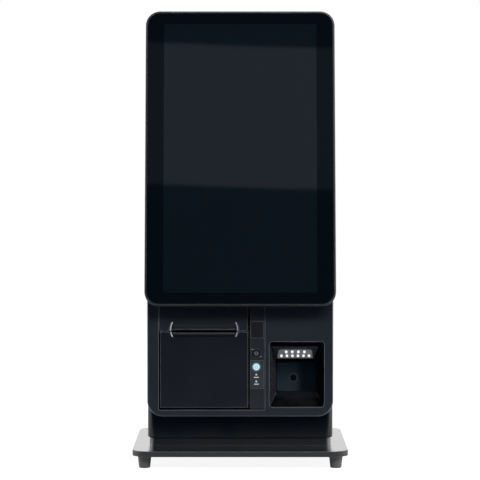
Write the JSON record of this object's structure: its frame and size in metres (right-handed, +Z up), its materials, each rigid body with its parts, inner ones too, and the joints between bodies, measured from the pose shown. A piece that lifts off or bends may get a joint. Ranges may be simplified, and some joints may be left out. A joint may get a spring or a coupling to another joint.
{
  "type": "countertop ticket kiosk",
  "caption": "Countertop self-service ticket kiosk: tilted portrait touch display over a base with ticket printer, key strip and code scanner bay, on a footed plate.",
  "frame": {"origin": "middle of the base plate, on the plane of the table under the feet", "axes": "+Z up, front with the display and the ticket slot faces -Y, +X to the right seen from the front"},
  "size_m": [0.27, 0.254, 0.5736],
  "materials": {
    "coated_steel_dark": "satin black powder coat",
    "sheet_steel": "zinc plated sheet",
    "machined_steel": "ground",
    "black_plastic": "fine textured moulding",
    "satin_black_plastic": "satin moulding",
    "grey_plastic": "satin",
    "engineering_plastic": "natural acetal",
    "foot_rubber": "matt",
    "platen_rubber": "ground",
    "aluminium_part": "as extruded",
    "brass_part": "nickel free",
    "lock_metal": "satin nickel",
    "thermal_paper": "smooth",
    "light_guide": "frosted clear",
    "lamp_white": "glowing",
    "cover_glass": "black printed, optically bonded",
    "window_glass": "tinted",
    "lens_glass": "lens in a black barrel",
    "board": "solder mask",
    "ceramic_bar": "glazed"
  },
  "bodies": {
    "base": {"foot_screws": "machined_steel", "base_plate": "coated_steel_dark", "foot_front_left": "foot_rubber", "foot_front_right": "foot_rubber", "foot_rear_left": "foot_rubber", "foot_rear_right": "foot_rubber", "plinth": "satin_black_plastic", "chassis_pan": "sheet_steel", "rear_housing": "satin_black_plastic", "front_bezel": "satin_black_plastic", "lid_light_guides": "light_guide", "hinge_pins": "machined_steel", "tear_bar": "machined_steel", "printer_lid": "satin_black_plastic", "printer_frame": "sheet_steel", "paper_bin": "black_plastic", "print_head": "ceramic_bar", "head_heat_sink": "aluminium_part", "head_springs": "machined_steel", "stepper_motor": "sheet_steel", "cutter_guide": "sheet_steel", "cutter_motor": "sheet_steel", "strip_panel": "satin_black_plastic", "lock_barrel": "lock_metal", "status_panel": "grey_plastic", "status_light_guides": "lamp_white", "bay_shroud": "satin_black_plastic", "scan_window": "window_glass", "scan_engine": "black_plastic", "scan_lens": "lens_glass", "light_bar": "black_plastic", "light_diffuser": "light_guide", "light_leds": "lamp_white", "head_screws": "machined_steel", "head_frame": "coated_steel_dark", "touch_glass": "cover_glass", "display_panel": "black_plastic", "head_rear_cover": "satin_black_plastic", "neck_post": "coated_steel_dark", "neck_cover": "satin_black_plastic", "main_board": "board", "power_inlet": "black_plastic", "data_sockets": "sheet_steel"},
    "door": {"printer_door": "satin_black_plastic", "door_liner": "black_plastic", "door_light_guides": "light_guide", "fixed_blade": "machined_steel"},
    "platen": {"platen_shaft": "machined_steel", "platen_sleeve": "platen_rubber", "platen_gear": "engineering_plastic"},
    "roll": {"paper_roll": "thermal_paper"},
    "idler": {"idler_gear": "engineering_plastic"},
    "feed_rotor": {"motor_gear": "brass_part"},
    "blade": {"cutter_blade": "machined_steel"},
    "pinion": {"cutter_pinion": "engineering_plastic"},
    "latch": {"latch_lever": "machined_steel"},
    "release": {"release_button": "black_plastic"},
    "lock": {"lock_plug": "lock_metal", "lock_cam": "machined_steel"},
    "power": {"power_button": "lamp_white"}
  },
  "joints": [
    {"name": "door_hinge", "type": "hinge", "parent": "base", "child": "door", "pos_m": [-0.0468, -0.075, 0.076], "axis": [1, 0, 0], "range_deg": [0, 80]},
    {"name": "platen_spin", "type": "hinge", "parent": "door", "child": "platen", "pos_m": [-0.0468, -0.066, 0.157], "axis": [1, 0, 0], "continuous": true},
    {"name": "roll_spin", "type": "hinge", "parent": "base", "child": "roll", "pos_m": [-0.0468, 0, 0.1053], "axis": [1, 0, 0], "continuous": true},
    {"name": "idler_spin", "type": "hinge", "parent": "base", "child": "idler", "pos_m": [-0.0951, -0.04683, 0.16594], "axis": [1, 0, 0], "continuous": true},
    {"name": "feed_motor_spin", "type": "hinge", "parent": "base", "child": "feed_rotor", "pos_m": [-0.0951, -0.0293, 0.17064], "axis": [1, 0, 0], "continuous": true},
    {"name": "cutter_stroke", "type": "slide", "parent": "base", "child": "blade", "axis": [0, -1, 0], "range_m": [0, 0.0055]},
    {"name": "cutter_pinion_spin", "type": "hinge", "parent": "base", "child": "pinion", "pos_m": [-0.02505, -0.0384, 0.165], "axis": [0, 0, -1], "range_deg": [0, 64]},
    {"name": "latch_turn", "type": "hinge", "parent": "base", "child": "latch", "pos_m": [-0.0003, -0.05, 0.155], "axis": [-1, 0, 0], "range_deg": [0, 13.5]},
    {"name": "release_press", "type": "slide", "parent": "base", "child": "release", "axis": [0, 1, 0], "range_m": [0, 0.003], "stiffness_N_per_m": 300, "springref_m": -0.001},
    {"name": "lock_turn", "type": "hinge", "parent": "base", "child": "lock", "pos_m": [0.0203, -0.08, 0.1403], "axis": [0, 1, 0], "range_deg": [0, 90]},
    {"name": "power_press", "type": "slide", "parent": "base", "child": "power", "axis": [0, 1, 0], "range_m": [0, 0.0012], "stiffness_N_per_m": 600, "springref_m": -0.0005}
  ],
  "couplings": [
    {"joint": "platen_spin", "follows": "roll_spin", "ratio": -5.5714},
    {"joint": "idler_spin", "follows": "roll_spin", "ratio": 4.1786},
    {"joint": "feed_motor_spin", "follows": "roll_spin", "ratio": -8.3571},
    {"joint": "cutter_pinion_spin", "follows": "cutter_stroke", "rad_per_m": 200},
    {"joint": "latch_turn", "follows": "release_press", "rad_per_m": 78.5}
  ]
}
